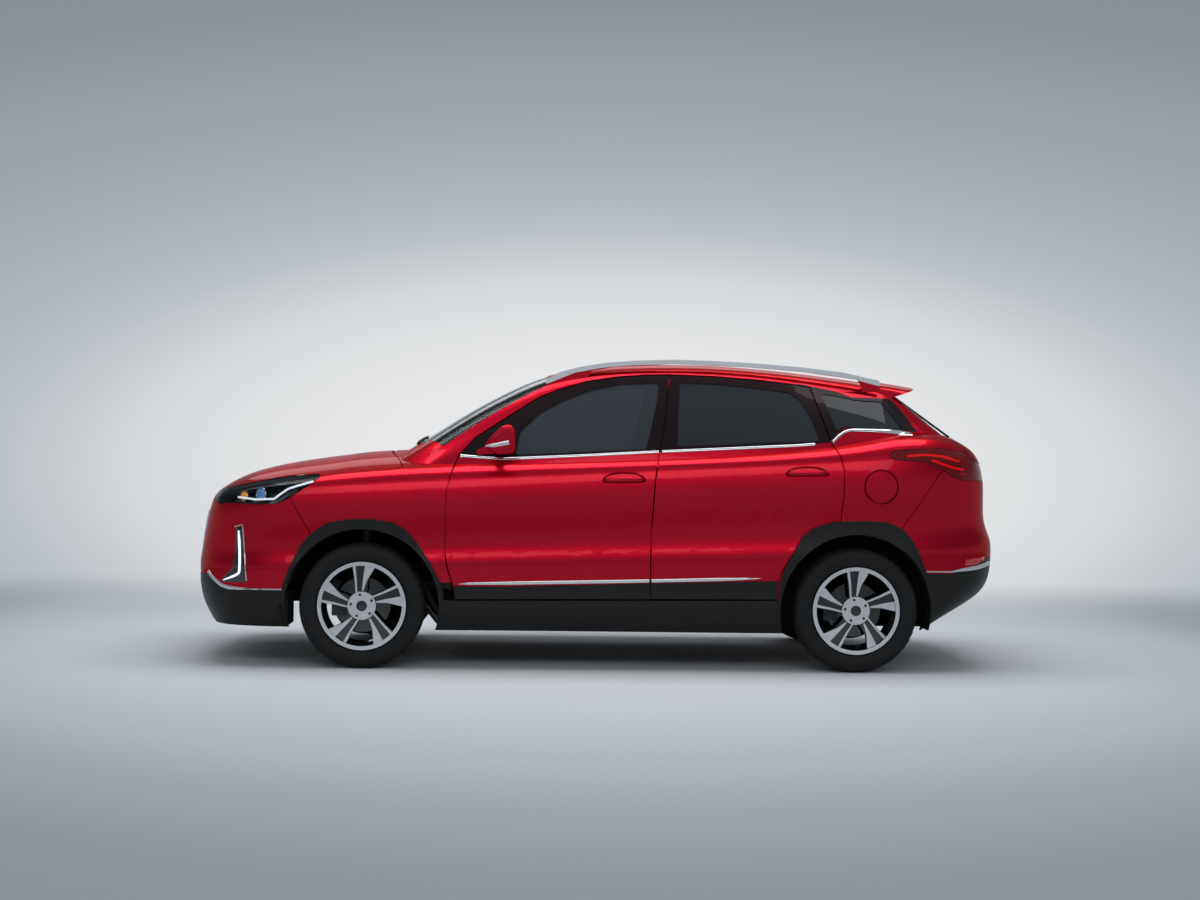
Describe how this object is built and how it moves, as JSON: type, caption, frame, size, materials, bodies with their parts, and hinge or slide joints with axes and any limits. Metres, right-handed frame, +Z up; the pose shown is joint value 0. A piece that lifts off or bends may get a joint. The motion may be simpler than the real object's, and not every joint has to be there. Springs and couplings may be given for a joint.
{
  "type": "crossover suv",
  "caption": "Compact five-door crossover with opening doors, hood, tailgate and fuel flap, steered front wheels and free-turning wheels.",
  "frame": {"origin": "on the ground, under the middle of the car's length and width", "axes": "+X to the rear of the car, +Y to its right side, +Z up"},
  "size_m": [4.3242, 2.0958, 1.6334],
  "materials": {
    "body_paint": "metallic gloss",
    "cladding": "fine grain",
    "gloss_black": "gloss",
    "side_glass": "clear, slightly tinted",
    "tinted_glass": "dark tint",
    "lamp_lens": "clear lens",
    "tail_lens": "clear red",
    "rail_metal": "satin",
    "tyre_rubber": "matte",
    "wheel_alloy": "machined and painted",
    "cast_parts": "rough",
    "dark_steel": "satin",
    "liner_plastic": "rough",
    "engine_metal": "cast",
    "exhaust_steel": "dull",
    "seat_fabric": "woven",
    "dash_plastic": "soft touch"
  },
  "bodies": {
    "body": {"headlamps": "lamp_lens", "fenders": "body_paint", "front_bumper": "body_paint", "front_chin": "cladding", "grille": "gloss_black", "tail_lamps": "tail_lens", "roof": "body_paint", "windshield": "side_glass", "quarter_glass": "tinted_glass", "body_shell": "body_paint", "rear_bumper": "body_paint", "rear_chin": "cladding", "side_cladding": "cladding", "roof_rails": "rail_metal", "front_suspension": "dark_steel", "rear_axle": "dark_steel", "wheel_liners": "liner_plastic", "floor": "dark_steel", "engine": "engine_metal", "front_frame": "dark_steel", "radiator": "engine_metal", "exhaust": "exhaust_steel", "seats": "seat_fabric", "dashboard": "dash_plastic", "steering_wheel": "dash_plastic"},
    "front_left_door_body": {"front_left_door": "body_paint", "front_left_door_glass": "side_glass", "front_left_door_cladding": "cladding", "left_mirror": "body_paint"},
    "front_right_door_body": {"front_right_door": "body_paint", "front_right_door_glass": "side_glass", "front_right_door_cladding": "cladding", "right_mirror": "body_paint"},
    "rear_left_door_body": {"rear_left_door": "body_paint", "rear_left_door_glass": "tinted_glass", "rear_left_door_cladding": "cladding"},
    "rear_right_door_body": {"rear_right_door": "body_paint", "rear_right_door_glass": "tinted_glass", "rear_right_door_cladding": "cladding"},
    "hood_body": {"hood": "body_paint"},
    "tailgate_body": {"tailgate": "body_paint", "tailgate_glass": "tinted_glass", "spoiler": "body_paint"},
    "fuel_flap_body": {"fuel_flap": "body_paint"},
    "left_knuckle": {"front_left_knuckle": "cast_parts"},
    "right_knuckle": {"front_right_knuckle": "cast_parts"},
    "front_left_wheel_body": {"front_left_tyre": "tyre_rubber", "front_left_wheel": "wheel_alloy"},
    "front_right_wheel_body": {"front_right_tyre": "tyre_rubber", "front_right_wheel": "wheel_alloy"},
    "rear_left_wheel_body": {"rear_left_tyre": "tyre_rubber", "rear_left_wheel": "wheel_alloy"},
    "rear_right_wheel_body": {"rear_right_tyre": "tyre_rubber", "rear_right_wheel": "wheel_alloy"}
  },
  "joints": [
    {"name": "front_left_door_hinge", "type": "hinge", "parent": "body", "child": "front_left_door_body", "pos_m": [-0.7483, -0.892, 0.7], "axis": [0, 0, -1], "range_deg": [0, 66]},
    {"name": "front_right_door_hinge", "type": "hinge", "parent": "body", "child": "front_right_door_body", "pos_m": [-0.7483, 0.892, 0.7], "axis": [0, 0, 1], "range_deg": [0, 66]},
    {"name": "rear_left_door_hinge", "type": "hinge", "parent": "body", "child": "rear_left_door_body", "pos_m": [0.3175, -0.892, 0.7], "axis": [0, 0, -1], "range_deg": [0, 66]},
    {"name": "rear_right_door_hinge", "type": "hinge", "parent": "body", "child": "rear_right_door_body", "pos_m": [0.3175, 0.892, 0.7], "axis": [0, 0, 1], "range_deg": [0, 66]},
    {"name": "hood_hinge", "type": "hinge", "parent": "body", "child": "hood_body", "pos_m": [-1.038, 0, 1.128], "axis": [0, 1, 0], "range_deg": [0, 50]},
    {"name": "tailgate_hinge", "type": "hinge", "parent": "body", "child": "tailgate_body", "pos_m": [1.435, 0, 1.552], "axis": [0, -1, 0], "range_deg": [0, 75]},
    {"name": "fuel_flap_hinge", "type": "hinge", "parent": "body", "child": "fuel_flap_body", "pos_m": [1.376, -0.88, 0.9725], "axis": [0, 0, -1], "range_deg": [0, 85]},
    {"name": "left_steer", "type": "hinge", "parent": "body", "child": "left_knuckle", "pos_m": [-1.2375, -0.6, 0.905], "axis": [0, 0.1772, 0.9842], "range_deg": [-34, 34]},
    {"name": "right_steer", "type": "hinge", "parent": "body", "child": "right_knuckle", "pos_m": [-1.2375, 0.6, 0.905], "axis": [0, -0.1772, 0.9842], "range_deg": [-34, 34]},
    {"name": "front_left_wheel_spin", "type": "hinge", "parent": "left_knuckle", "child": "front_left_wheel_body", "pos_m": [-1.2375, -0.78, 0.3235], "axis": [0, 1, 0], "continuous": true},
    {"name": "front_right_wheel_spin", "type": "hinge", "parent": "right_knuckle", "child": "front_right_wheel_body", "pos_m": [-1.2375, 0.78, 0.3235], "axis": [0, 1, 0], "continuous": true},
    {"name": "rear_left_wheel_spin", "type": "hinge", "parent": "body", "child": "rear_left_wheel_body", "pos_m": [1.3325, -0.78, 0.3235], "axis": [0, 1, 0], "continuous": true},
    {"name": "rear_right_wheel_spin", "type": "hinge", "parent": "body", "child": "rear_right_wheel_body", "pos_m": [1.3325, 0.78, 0.3235], "axis": [0, 1, 0], "continuous": true}
  ],
  "couplings": [
    {"joint": "right_steer", "follows": "left_steer", "ratio": 1}
  ]
}
